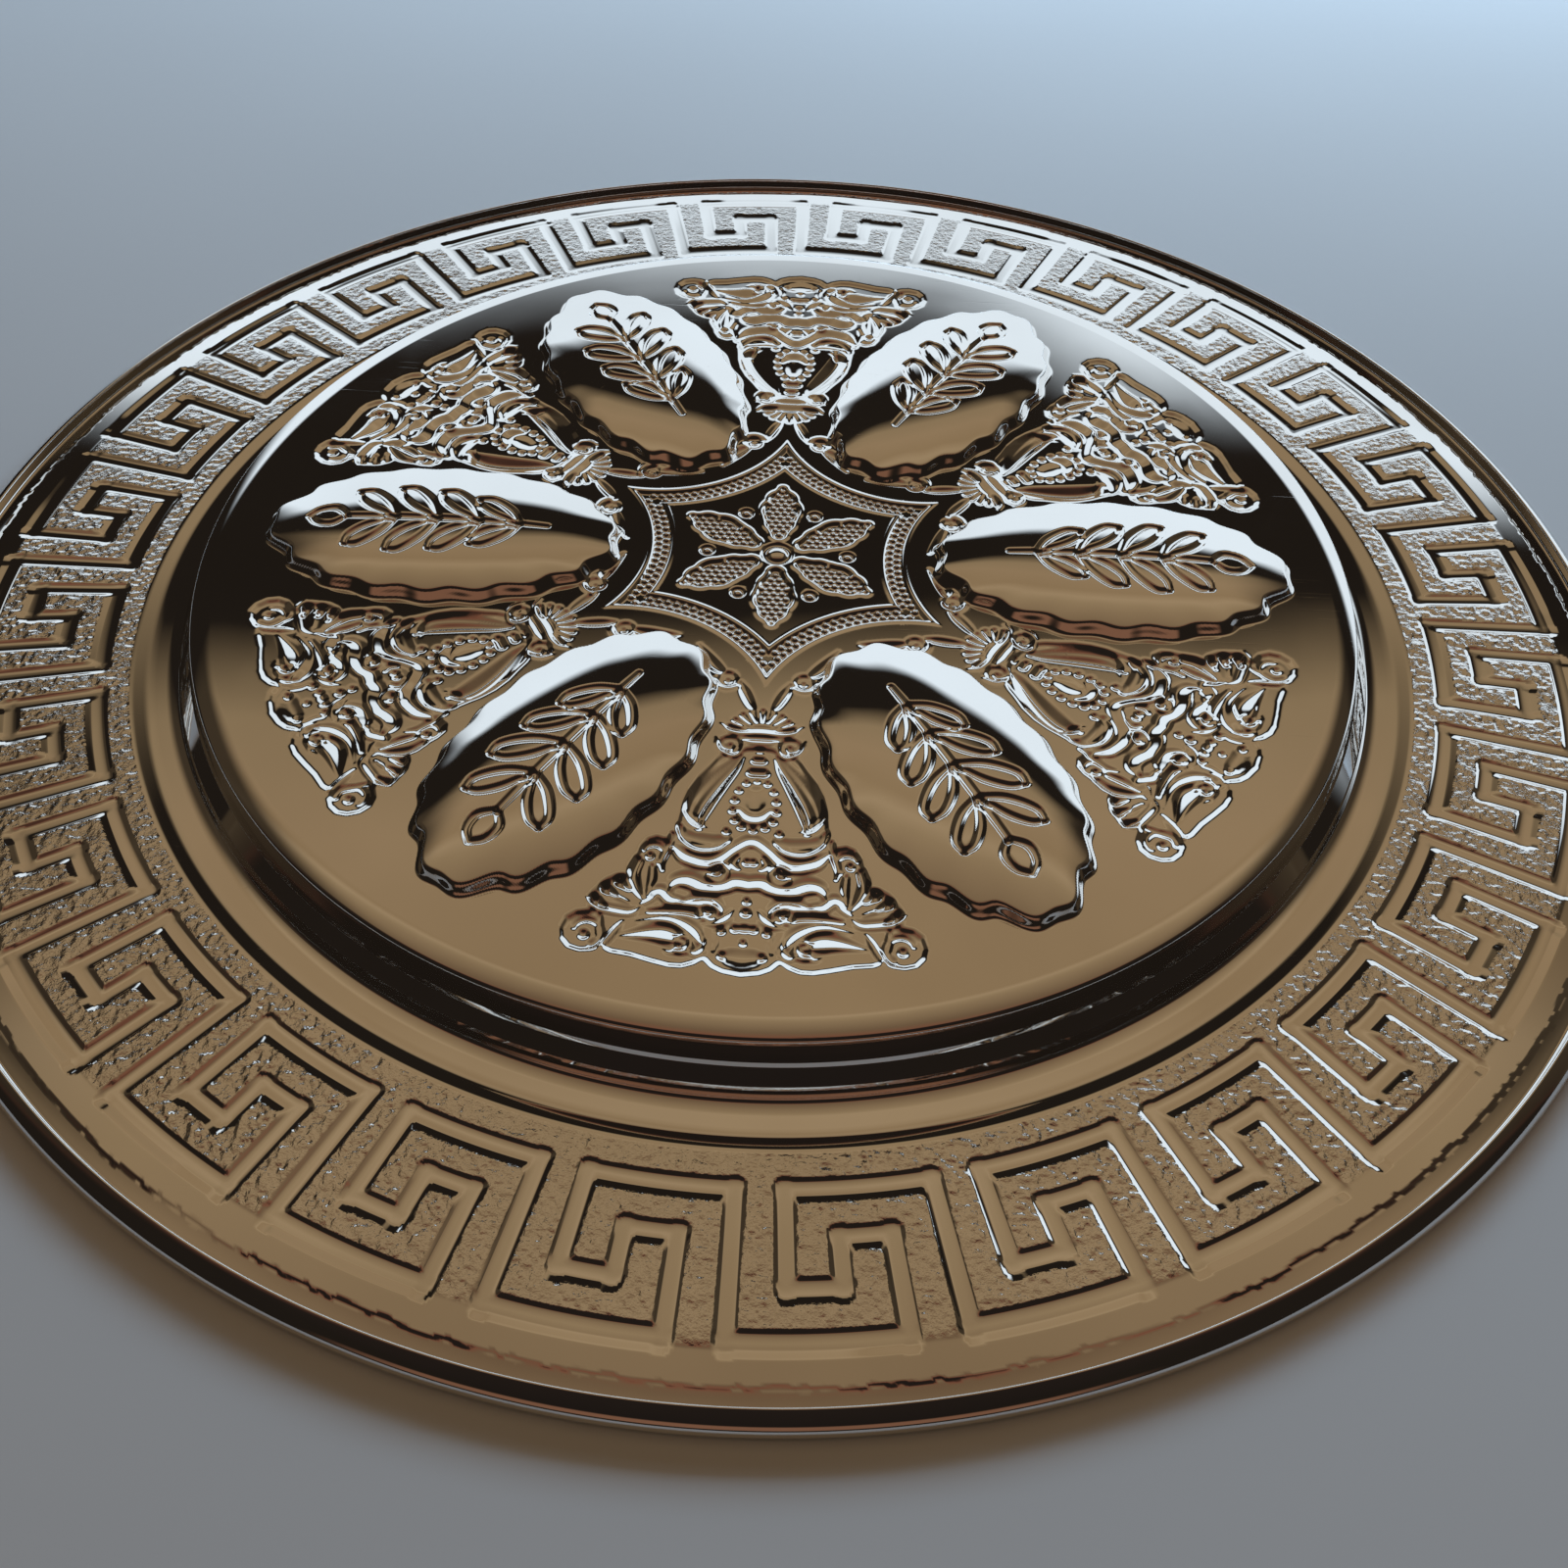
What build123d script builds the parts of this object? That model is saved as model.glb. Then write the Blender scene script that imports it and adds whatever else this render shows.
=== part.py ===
from build123d import *
import math
import os

os.makedirs("parts", exist_ok=True)

# ---------------------------------------------------------------- driving dimensions (mm)
plate_radius = 152.4          # outside of the curled edge (a 12 inch plate)
sheet = 0.6                   # sheet thickness
bead_height = 3.2             # curled edge, bottom to crest
bead_inner_radius = 149.45    # steep inside of the curled edge
bead_crest_radius = 149.95    # crest, close to the inside
bead_tuck_radius = 150.2      # where the tucked-under end of the curl stops
rim_back = 1.2                # back face of the flat rim above the resting plane
strip_fall = 0.27             # the strip outside the key band falls towards the curled edge
key_step = 0.36               # how far the key band is pressed out of the rim
key_inner_radius = 114.4      # inner and outer edge of the key band
key_outer_radius = 146.4
disc_rise = 10.3              # centre disc above the rim
disc_edge_radius = 101.95     # shoulder of the centre disc
wall_foot_radius = 105.9      # foot of the wall round the disc
well_count = 6
well_inner = 28.9             # inner and outer tip of a well, from the plate's centre
well_outer = 91.4
well_wall = 1.7               # steep side of a well
well_crown = 2.45             # further rise of its crowned floor
well_draft = 0.75             # how far the side leans in
wire_radius = 0.7             # wire in the curled edge
wire_ring_radius = 150.8
wire_height = 1.34

disc_back = rim_back + disc_rise
bead_foot = rim_back - strip_fall
band_back = rim_back + key_step

# ---------------------------------------------------------------- sheet section (radius, height)
# back face from the centre out to the curl, then round the curl and back along the front face
shoulder = 3.4                # bend radii on the back face
foot = 2.0

# wall with two small press lines
wall_pts = [
    (disc_edge_radius, disc_back),
    (disc_edge_radius + 1.45, disc_back - 4.4),
    (disc_edge_radius + 1.78, disc_back - 5.02),
    (disc_edge_radius + 3.39, disc_back - 7.5),
    (disc_edge_radius + 3.65, disc_back - 7.99),
    (wall_foot_radius, rim_back),
]

# ---------------------------------------------------------------- well outline: cusps of the scallops in a well's own axes
# along = from the inner tip to the outer tip, side = half width; shares of the well's length and of its half width
well_length = well_outer - well_inner
well_half = 17.5
cusp_share = [
    (0.000, 0.00), (0.052, 0.43), (0.145, 0.69), (0.280, 0.89), (0.425, 0.985),
    (0.570, 0.99), (0.715, 0.91), (0.840, 0.72), (0.930, 0.42), (1.000, 0.00),
]


def well_loop(inset):
    # closed list of cusps, counter-clockwise, drawn in by inset
    mid = well_length / 2
    upper = []
    for a, s in cusp_share:
        x = a * well_length
        y = s * well_half
        dx, dy = x - mid, y
        nx, ny = dx / mid ** 2, dy / well_half ** 2
        n = math.hypot(nx, ny)
        upper.append((well_inner + x - inset * nx / n, y - inset * ny / n))
    lower = [(x, -y) for x, y in upper[1:-1]]
    return lower + upper[::-1]


def bulge_mid(p, q, rise):
    # middle point of a scallop that bows outward from the chord p-q (counter-clockwise loop)
    mx, my = (p[0] + q[0]) / 2, (p[1] + q[1]) / 2
    dx, dy = q[0] - p[0], q[1] - p[1]
    n = math.hypot(dx, dy)
    return (mx + rise * dy / n, my - rise * dx / n)


scallop_rise = 0.75

# crown of a well: an arc swung about an axis that lies along the well
crown_side_radius = 47.0
crown_half_length = well_length / 2
crown_long_radius = crown_half_length ** 2 / (2 * well_crown)
well_top = disc_back + well_wall + well_crown



def rounded(points):
    # (x, y, bend radius) list to a list of straight and arc pieces: ("line", p, q) and ("arc", p, mid, q)
    out = []
    here = points[0][:2]
    for i in range(1, len(points)):
        x, y, r = points[i]
        if r <= 0 or i == len(points) - 1:
            out.append(("line", here, (x, y)))
            here = (x, y)
            continue
        px, py = points[i - 1][:2]
        nx, ny = points[i + 1][:2]
        ux, uy = px - x, py - y
        vx, vy = nx - x, ny - y
        ul, vl = math.hypot(ux, uy), math.hypot(vx, vy)
        ux, uy, vx, vy = ux / ul, uy / ul, vx / vl, vy / vl
        half = math.acos(max(-1, min(1, ux * vx + uy * vy))) / 2
        cut = r / math.tan(half)
        p = (x + ux * cut, y + uy * cut)
        q = (x + vx * cut, y + vy * cut)
        bx, by = ux + vx, uy + vy
        bl = math.hypot(bx, by)
        far = r / math.sin(half) - r
        m = (x + bx / bl * far, y + by / bl * far)
        out.append(("line", here, p))
        out.append(("arc", p, m, q))
        here = q
    return out


def draw(pieces):
    for piece in pieces:
        if piece[0] == "line":
            Line(piece[1], piece[2])
        else:
            ThreePointArc(piece[1], piece[2], piece[3])


# ================================================================ pressed plate
with BuildPart() as pressed_plate:
    with BuildSketch(Plane.XZ) as section:
        with BuildLine() as back_line:
            back = [(0, disc_back, 0), wall_pts[0] + (shoulder,)]
            back += [p + (0,) for p in wall_pts[1:5]] + [wall_pts[5] + (foot,)]
            back += [(111.6, rim_back, 0), (key_inner_radius, band_back, 0), (key_outer_radius, band_back, 0),
                     (key_outer_radius + 0.6, rim_back, 0), (bead_inner_radius - 0.5, bead_foot, 0)]
            draw(rounded(back))
            a1 = (bead_inner_radius - 0.5, bead_foot)
            RadiusArc(a1, (bead_inner_radius, bead_foot + 0.5), -0.5)
            Line((bead_inner_radius, bead_foot + 0.5), (bead_inner_radius, bead_height - 0.5))
            RadiusArc((bead_inner_radius, bead_height - 0.5), (bead_crest_radius, bead_height), 0.5)
            arc_c = bead_height - (plate_radius - bead_crest_radius)
            RadiusArc((bead_crest_radius, bead_height), (plate_radius, arc_c), plate_radius - bead_crest_radius)
            RadiusArc((plate_radius, arc_c), (plate_radius - arc_c, 0), arc_c)
            Line((plate_radius - arc_c, 0), (bead_tuck_radius, 0))
            # inside of the curl
            Line((bead_tuck_radius, 0), (bead_tuck_radius, sheet))
            Line((bead_tuck_radius, sheet), (plate_radius - arc_c, sheet))
            RadiusArc((plate_radius - arc_c, sheet), (plate_radius - sheet, arc_c), -(arc_c - sheet))
            inside_r = bead_inner_radius + sheet
            curl_r = plate_radius - bead_crest_radius - sheet
            inside_top = arc_c + math.sqrt(curl_r ** 2 - (inside_r - bead_crest_radius) ** 2)
            RadiusArc((plate_radius - sheet, arc_c), (inside_r, inside_top), -curl_r)
            Line((inside_r, inside_top), (inside_r, bead_foot + 0.3))
            RadiusArc((inside_r, bead_foot + 0.3), (inside_r - 0.9, bead_foot - sheet), 0.9)
            # front face back to the centre, one sheet thickness below
            k = sheet
            front = [(inside_r - 0.9, bead_foot - k, 0), (key_outer_radius + 0.6 - 0.35, rim_back - k, 0),
                     (key_outer_radius - 0.35, band_back - k, 0), (key_inner_radius + 0.25, band_back - k, 0),
                     (111.6 + 0.25, rim_back - k, 0), (wall_foot_radius - 0.52, rim_back - k, foot + sheet)]
            front += [(r - 0.58, z - 0.30, 0) for r, z in wall_pts[4:0:-1]]
            front += [(disc_edge_radius - 0.43, disc_back - k, shoulder - sheet), (0, disc_back - k, 0)]
            draw(rounded(front))
            Line((0, disc_back - k), (0, disc_back))
        make_face()
    revolve(axis=Axis.Z)
    # wells: outside first, then the hollow under each
    for outside in (True, False):
        inset = 0.0 if outside else sheet * 0.95
        low = disc_back - (sheet * 0.5 if outside else sheet * 3)
        with BuildSketch(Plane.XY.offset(low)) as well_base:
            with BuildLine():
                loop = well_loop(inset)
                for p, q in zip(loop, loop[1:] + loop[:1]):
                    ThreePointArc(p, bulge_mid(p, q, scallop_rise), q)
            make_face()
        with BuildSketch(Plane.XY.offset(well_top + 1)) as well_lid:
            with BuildLine():
                loop = well_loop(inset + well_draft * (well_top + 1 - disc_back) / well_wall * 0.45)
                for p, q in zip(loop, loop[1:] + loop[:1]):
                    ThreePointArc(p, bulge_mid(p, q, scallop_rise * 0.8), q)
            make_face()
        column = loft([well_base.sketch.face(), well_lid.sketch.face()], ruled=True, mode=Mode.PRIVATE)
        # crowned body: arc in the well's long section, swung about an axis below it
        drop = 0.0 if outside else sheet
        top = well_top - drop
        axis_z = well_top - crown_side_radius
        mid_x = (well_inner + well_outer) / 2
        half = crown_half_length + 6
        end_drop = half ** 2 / (2 * crown_long_radius)
        with BuildSketch(Plane.XZ) as crown_section:
            with BuildLine():
                ThreePointArc((mid_x - half, top - end_drop), (mid_x, top), (mid_x + half, top - end_drop))
                Polyline((mid_x + half, top - end_drop), (mid_x + half, axis_z), (mid_x - half, axis_z),
                         (mid_x - half, top - end_drop))
            make_face()
        crown = revolve(crown_section.sketch.face(), axis=Axis((0, 0, axis_z), (1, 0, 0)), mode=Mode.PRIVATE)
        bump = column & crown
        with PolarLocations(0, well_count):
            add(bump, mode=Mode.ADD if outside else Mode.SUBTRACT)
pressed_plate.part.label = "pressed_plate"

# ================================================================ wire in the curled edge
with BuildPart() as edge_wire:
    with BuildSketch(Plane.XZ) as wire_section:
        with Locations((wire_ring_radius, wire_height)):
            Circle(wire_radius)
    revolve(axis=Axis.Z)
edge_wire.part.label = "edge_wire"

export_step(pressed_plate.part, "parts/pressed_plate.step")
export_step(edge_wire.part, "parts/edge_wire.step")
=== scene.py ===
import math

import bpy
import numpy as np
from mathutils import Matrix, Vector


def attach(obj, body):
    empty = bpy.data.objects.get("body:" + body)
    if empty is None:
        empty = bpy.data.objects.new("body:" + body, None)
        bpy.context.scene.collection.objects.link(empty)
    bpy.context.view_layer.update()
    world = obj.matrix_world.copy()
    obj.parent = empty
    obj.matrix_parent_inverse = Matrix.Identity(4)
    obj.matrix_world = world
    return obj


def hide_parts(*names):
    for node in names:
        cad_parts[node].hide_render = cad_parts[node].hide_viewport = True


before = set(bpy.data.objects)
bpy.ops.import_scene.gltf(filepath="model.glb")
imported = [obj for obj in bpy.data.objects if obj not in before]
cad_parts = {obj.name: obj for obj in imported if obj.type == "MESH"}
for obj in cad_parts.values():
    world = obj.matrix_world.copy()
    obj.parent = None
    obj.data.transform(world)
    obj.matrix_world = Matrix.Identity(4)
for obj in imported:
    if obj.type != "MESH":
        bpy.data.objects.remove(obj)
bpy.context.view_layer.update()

# ================================================================== dimensions (mm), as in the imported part
RADIUS = 152.4
SHEET = 0.6
RIM = 1.2                        # back face of the rim above the table
DISC = 11.5                      # back face of the centre disc
WELL_IN, WELL_OUT, WELL_HALF = 28.9, 91.4, 17.5
WELL_WALL, WELL_CROWN = 1.7, 2.45
KEY_STEP = 0.35
KEY_IN, KEY_OUT = 114.4, 146.4
KEY_COUNT = 28
KEY_ROWS = [0.9229 * RADIUS, 0.8766 * RADIUS, 0.8303 * RADIUS, 0.7840 * RADIUS]
KEY_START = 267.46               # degrees, column of the first key


# ------------------------------------------------------------------ pressed relief of the centre disc
# One half of one sixth of the disc, drawn as a height field (mm). "along" runs out along the middle of an
# ornament panel, "side" across it; the next food well's axis lies 30 degrees away.
CELL = 0.1
ALONG0, SIDE0 = -3.0, -3.0
NA, NS = 1090, 610
along = ALONG0 + CELL * np.arange(NA)[:, None]
side = SIDE0 + CELL * np.arange(NS)[None, :]
side_abs = np.abs(side)
UNIT = 0.0508                      # drawing unit of the ornament, mm
LEAN = 0.50                        # depth of a stroke for its half width
STEP_LEAN, FADE, DROP = 0.40, 1.5, 0.8   # slope of a step; half widths over which it dies out on its low and its high side


def P(w, y):
    return (390.0 + y) * UNIT, w * UNIT


def smooth(t):
    t = np.clip(t, 0.0, 1.0)
    return t * t * (3 - 2 * t)


def spline(points, steps=7):
    # smooth curve through (w, y, radius) points
    p = np.array(points, float)
    if len(p) < 3:
        return p
    q = np.vstack([2 * p[0] - p[1], p, 2 * p[-1] - p[-2]])
    out = []
    for i in range(1, len(q) - 2):
        for k in range(steps):
            t = k / steps
            a, b, c, d = q[i - 1], q[i], q[i + 1], q[i + 2]
            out.append(0.5 * (2 * b + (c - a) * t + (2 * a - 5 * b + 4 * c - d) * t * t + (3 * b - a - 3 * c + d) * t ** 3))
    out.append(p[-1])
    return np.array(out)


def window(lo_a, hi_a, lo_s, hi_s):
    i0 = max(0, int((lo_a - ALONG0) / CELL) - 1)
    i1 = min(NA, int((hi_a - ALONG0) / CELL) + 3)
    j0 = max(0, int((lo_s - SIDE0) / CELL) - 1)
    j1 = min(NS, int((hi_s - SIDE0) / CELL) + 3)
    return slice(i0, i1), slice(j0, j1)


def stroke_field(points, curved=True):
    # signed distance (mm, negative inside) to a stroke of changing radius, its share of the radius, and its window
    p = spline(points) if curved else np.array(points, float)
    a, b = P(p[:, 0], p[:, 1])
    r = np.abs(p[:, 2]) * UNIT
    m = r.max() + 0.3
    win = window(a.min() - m, a.max() + m, b.min() - m, b.max() + m)
    A, B = along[win[0]], side[:, win[1]]
    best = np.full((A.shape[0], B.shape[1]), 1e3)
    rad = np.ones_like(best)
    for k in range(len(a) - 1):
        da, db = a[k + 1] - a[k], b[k + 1] - b[k]
        n = da * da + db * db + 1e-12
        t = np.clip(((A - a[k]) * da + (B - b[k]) * db) / n, 0, 1)
        d = np.hypot(A - a[k] - t * da, B - b[k] - t * db)
        rr = r[k] + t * (r[k + 1] - r[k])
        e = d - rr
        hit = e < best
        best = np.where(hit, e, best)
        rad = np.where(hit, rr, rad)
    return best, rad, win


def spiral(w, y, r_out, r_in, start, turns, radius, r_end=None, steps=26):
    out = []
    for k in range(steps + 1):
        t = k / steps
        ang = math.radians(start) + turns * 2 * math.pi * t
        rr = r_out + (r_in - r_out) * t
        rad = radius + ((r_end if r_end is not None else radius) - radius) * t
        out.append((w + rr * math.cos(ang), y + rr * math.sin(ang), rad))
    return out


class Sheet:
    # ground, hollows pressed into it, and what is raised or dimpled again on top
    def __init__(self):
        self.z = np.zeros((NA, NS))
        self.ground = np.zeros((NA, NS))
        self.hollow = np.zeros((NA, NS))

    def trough(self, points, depth, wall=0.75, curved=True):
        # flat-floored hollow with leaning sides
        e, r, win = stroke_field(points, curved)
        w = np.minimum(wall, np.maximum(r, 0.15))
        z = -np.minimum(depth, LEAN * w) * smooth(-e / w)
        self.hollow[win] = np.minimum(self.hollow[win], z)

    def bowl(self, points, depth, curved=True):
        # round-floored hollow
        e, r, win = stroke_field(points, curved)
        q = np.clip((e + r) / r, 0, 1)
        self.hollow[win] = np.minimum(self.hollow[win], -np.minimum(depth, LEAN * r) * (1 - q * q) ** 1.4)

    def step(self, points, lean=0.0, curved=True):
        # wall of even lean that rises on the right of the stroke (w right, y down) and dies out on both sides
        p = spline(points) if curved else np.array(points, float)
        a, b = P(p[:, 0], p[:, 1])
        r = np.abs(p[:, 2]) * UNIT
        m = r.max() * (1 + FADE)
        win = window(a.min() - m, a.max() + m, b.min() - m, b.max() + m)
        A, B = along[win[0]], side[:, win[1]]
        best = np.full((A.shape[0], B.shape[1]), 1e3)
        sign = np.zeros_like(best)
        rad = np.ones_like(best)
        for k in range(len(a) - 1):
            da, db = a[k + 1] - a[k], b[k + 1] - b[k]
            n = da * da + db * db + 1e-12
            t = np.clip(((A - a[k]) * da + (B - b[k]) * db) / n, 0, 1)
            ea, eb = A - a[k] - t * da, B - b[k] - t * db
            d = np.hypot(ea, eb)
            hit = d < best
            best = np.where(hit, d, best)
            sign = np.where(hit, np.sign(ea * db - eb * da), sign)
            rad = np.where(hit, r[k] + t * (r[k + 1] - r[k]), rad)
        u = best / rad
        g = np.where(u < 1, u, 1 - smooth((u - 1) / np.where(sign > 0, DROP, FADE)))
        self.z[win] += (lean or STEP_LEAN) * rad * sign * g

    def shape(self, points, table):
        # stroke with a cross-section of its own: (share of the half width, depth over the half width), left to right
        p = spline(points)
        a, b = P(p[:, 0], p[:, 1])
        r = np.abs(p[:, 2]) * UNIT
        m = r.max()
        win = window(a.min() - m, a.max() + m, b.min() - m, b.max() + m)
        A, B = along[win[0]], side[:, win[1]]
        best = np.full((A.shape[0], B.shape[1]), 1e3)
        sign = np.zeros_like(best)
        rad = np.ones_like(best)
        for k in range(len(a) - 1):
            da, db = a[k + 1] - a[k], b[k + 1] - b[k]
            n = da * da + db * db + 1e-12
            t = np.clip(((A - a[k]) * da + (B - b[k]) * db) / n, 0, 1)
            ea, eb = A - a[k] - t * da, B - b[k] - t * db
            d = np.hypot(ea, eb)
            hit = d < best
            best = np.where(hit, d, best)
            sign = np.where(hit, np.sign(ea * db - eb * da), sign)
            rad = np.where(hit, r[k] + t * (r[k + 1] - r[k]), rad)
        u = sign * best / rad
        us, zs = zip(*table)
        self.z[win] += rad * np.interp(u, us, zs)

    def dig(self, points, depth, curved=True):
        # like bowl, but cut into whatever is there
        e, r, win = stroke_field(points, curved)
        q = np.clip((e + r) / r, 0, 1)
        self.z[win] -= np.minimum(depth, LEAN * r) * (1 - q * q) ** 1.4

    def rib(self, points, height, curved=True):
        e, r, win = stroke_field(points, curved)
        q = np.clip((e + r) / r, 0, 1)
        self.z[win] += np.minimum(height, LEAN * r) * (1 - q * q) ** 1.4

    def area(self, outline, depth, wall=0.8):
        # closed outline (w, y), recessed
        p = np.array(outline, float)
        a, b = P(p[:, 0], p[:, 1])
        win = window(a.min() - 1, a.max() + 1, b.min() - 1, b.max() + 1)
        A, B = along[win[0]], side[:, win[1]]
        inside = np.zeros((A.shape[0], B.shape[1]), bool)
        best = np.full(inside.shape, 1e3)
        n = len(a)
        for k in range(n):
            a0, b0, a1, b1 = a[k], b[k], a[(k + 1) % n], b[(k + 1) % n]
            da, db = a1 - a0, b1 - b0
            t = np.clip(((A - a0) * da + (B - b0) * db) / (da * da + db * db + 1e-12), 0, 1)
            best = np.minimum(best, np.hypot(A - a0 - t * da, B - b0 - t * db))
            if abs(db) > 1e-9:
                cross = ((b0 > B) != (b1 > B)) & (A < da * (B - b0) / db + a0)
                inside ^= cross
        e = np.where(inside, -best, best)
        self.ground[win] = np.minimum(self.ground[win], -depth * smooth(-e / wall))

    def settle(self):
        self.z = self.ground + self.hollow + self.z

    def blur(self, sigma):
        n = max(1, int(math.ceil(3 * sigma / CELL)))
        k = np.exp(-0.5 * (np.arange(-n, n + 1) * CELL / sigma) ** 2)
        k /= k.sum()
        z = self.z
        for axis in (0, 1):
            pad = [(n, n) if ax == axis else (0, 0) for ax in (0, 1)]
            q = np.pad(z, pad, mode="edge")
            z = sum(k[i] * np.take(q, range(i, i + z.shape[axis]), axis=axis) for i in range(2 * n + 1))
        self.z = z


def mirror_edge(z):
    # the panel's middle line is a mirror line
    j = int(round(-SIDE0 / CELL))
    for k in range(1, j + 1):
        z[:, j - k] = z[:, j + k]
    return z


def ornament():
    s = Sheet()
    # ---- ground of the lower part, inside a scalloped outline
    s.area([(-60, 1424), (0, 1424), (55, 1414), (88, 1398), (110, 1374), (130, 1390), (165, 1404), (205, 1404), (255, 1392), (318, 1374),
            (375, 1366), (401, 1352), (425, 1364), (462, 1368), (500, 1356), (524, 1326), (532, 1285), (520, 1245), (490, 1220), (452, 1212),
            (446, 1204), (464, 1180), (456, 1150), (438, 1124), (420, 1098), (388, 1078), (360, 1072), (352, 1040), (344, 1004),
            (336, 972), (318, 938), (285, 922), (252, 932), (238, 905), (232, 850), (226, 790), (214, 735), (190, 680), (158, 632),
            (138, 598), (118, 574), (72, 552), (34, 542), (-60, 540)], 0.46, 1.15)
    # ---- corner volute
    s.bowl(spiral(454, 1288, 52, 34, 120, 0.62, 16, 9), 0.30)
    s.dig([(455, 1300, 20), (456, 1300, 20)], 0.42, False)
    s.rib([(348, 1247, 6), (365, 1277, 13), (382, 1309, 14), (402, 1340, 13)], 0.50)
    s.bowl([(418, 1232, 10), (416, 1262, 16), (412, 1300, 12)], 0.30)
    # ---- big leaf of the lower corner
    s.step([(185, 1302, 9), (202, 1294, 17), (229, 1287, 21), (257, 1286, 18), (289, 1289, 13), (321, 1294, 8), (358, 1300, 3)])
    s.step([(126, 1298, 10), (146, 1271, 14), (171, 1251, 14), (201, 1236, 12), (235, 1230, 10), (272, 1234, 6), (311, 1243, 4)])
    s.step([(154, 1302, 5), (158, 1319, 7), (177, 1336, 8), (204, 1344, 7), (223, 1337, 4)])
    s.step([(111, 1301, 6), (114, 1329, 10), (130, 1345, 10), (149, 1343, 6)])
    s.dig([(182, 1318, 15), (182, 1319, 15)], 0.45, False)
    s.rib(spiral(176, 1322, 34, 24, 300, -0.7, 10), 0.34)
    # ---- fan in the middle of the lower edge, with its dots
    s.bowl([(-30, 1352, 34), (0, 1356, 40), (30, 1352, 34)], 0.30)
    s.dig([(58, 1346, 17), (58, 1347, 17)], 0.42, False)
    s.bowl([(82, 1330, 10), (76, 1295, 12), (82, 1270, 8)], 0.16)
    s.dig([(0, 1300, 14), (0, 1301, 14)], 0.40, False)
    for w, y in ((4, 1248), (27, 1250), (66, 1260)):
        s.dig([(w, y, 17), (w, y + 1, 17)], 0.50, False)
    # ---- three-lobed shell on the side
    for w, y, r in ((438, 1172, 21), (412, 1130, 22), (374, 1104, 22)):
        s.bowl([(w, y, r), (w - 28, y + 22, r * 0.6)], 0.86)
        s.dig([(w + 2, y + 2, 14), (w + 2, y + 3, 14)], 0.28, False)
    s.step([(308, 1195, 4), (322, 1209, 8), (340, 1216, 10), (369, 1213, 11), (402, 1207, 11), (439, 1197, 10), (460, 1176, 5)])
    s.rib([(398, 1156, 8), (366, 1168, 8), (340, 1180, 6)], 0.32)
    # ---- ring and long leaf above the shell
    s.bowl(spiral(292, 988, 40, 26, 120, 0.62, 14, 9), 0.30)
    s.dig([(298, 1000, 18), (298, 1001, 18)], 0.45, False)
    s.bowl([(330, 1022, 18), (340, 1066, 22), (326, 1118, 18), (302, 1160, 8)], 0.90)
    s.bowl([(286, 1040, 14), (284, 1090, 16), (292, 1146, 8)], 0.74)
    s.bowl([(240, 918, 12), (248, 962, 16), (262, 1016, 14), (256, 1052, 8)], 0.72)
    # ---- two bands of small scrolls
    s.step([(-24, 1098, 16), (7, 1090, 18), (39, 1087, 19), (66, 1100, 19), (99, 1108, 19), (133, 1108, 19), (158, 1096, 19), (182, 1088, 19),
            (206, 1092, 16), (221, 1106, 11), (232, 1124, 5)])
    s.dig([(95, 1046, 19), (95, 1047, 19)], 0.45, False)
    s.rib(spiral(92, 1050, 33, 25, 30, 0.85, 10), 0.30)
    s.step([(199, 1163, 10), (222, 1162, 14), (237, 1149, 14), (254, 1134, 14), (268, 1138, 12), (279, 1159, 10), (296, 1174, 8)])
    s.step([(66, 1200, 5), (76, 1182, 10), (99, 1163, 14), (123, 1159, 16), (151, 1164, 16), (182, 1168, 8)])
    s.dig([(108, 1196, 15), (108, 1197, 15)], 0.40, False)
    s.rib(spiral(104, 1200, 32, 24, 330, 0.75, 10), 0.30)
    s.step([(38, 1190, 5), (49, 1210, 10), (66, 1224, 12), (89, 1232, 12), (110, 1237, 6)])
    s.bowl([(280, 1206, 10), (222, 1198, 16), (160, 1200, 16), (130, 1216, 10)], 0.70)
    # ---- dots down the middle of the bands
    for w, y, r, d in ((10, 1004, 17, 0.5), (0, 1150, 16, 0.42), (0, 1190, 20, 0.55)):
        s.dig([(w, y, r), (w, y + 1, r)], d, False)
    s.bowl([(34, 1030, 10), (48, 1012, 14), (38, 988, 10)], 0.6)
    # ---- crescents under the loops
    s.bowl([(222, 880, 12), (204, 914, 26), (160, 932, 34), (112, 936, 34), (78, 922, 24)], 0.42)
    s.step([(-18, 934, 16), (0, 930, 16), (18, 935, 14), (53, 964, 13), (80, 993, 14), (107, 1014, 17), (136, 1019, 17), (170, 1011, 17), (201, 997, 16),
            (230, 966, 8)])
    s.step([(72, 924, 4), (87, 948, 8), (107, 961, 10), (135, 969, 10), (165, 967, 10), (190, 953, 8), (211, 927, 7), (226, 896, 4)])
    s.dig([(80, 890, 17), (80, 891, 17)], 0.62, False)
    # ---- long loops
    s.shape([(58, 584, 14), (82, 626, 30), (120, 686, 42), (154, 750, 48), (174, 806, 46), (176, 850, 34), (166, 880, 18)],
            [(-1, 0), (-0.92, -0.03), (-0.45, -0.25), (-0.37, -0.235), (0.08, -0.45), (0.20, -0.45), (0.92, -0.02), (1, 0)])
    s.step([(148, 878, 5), (172, 867, 12), (192, 850, 11), (208, 828, 6)])
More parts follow.
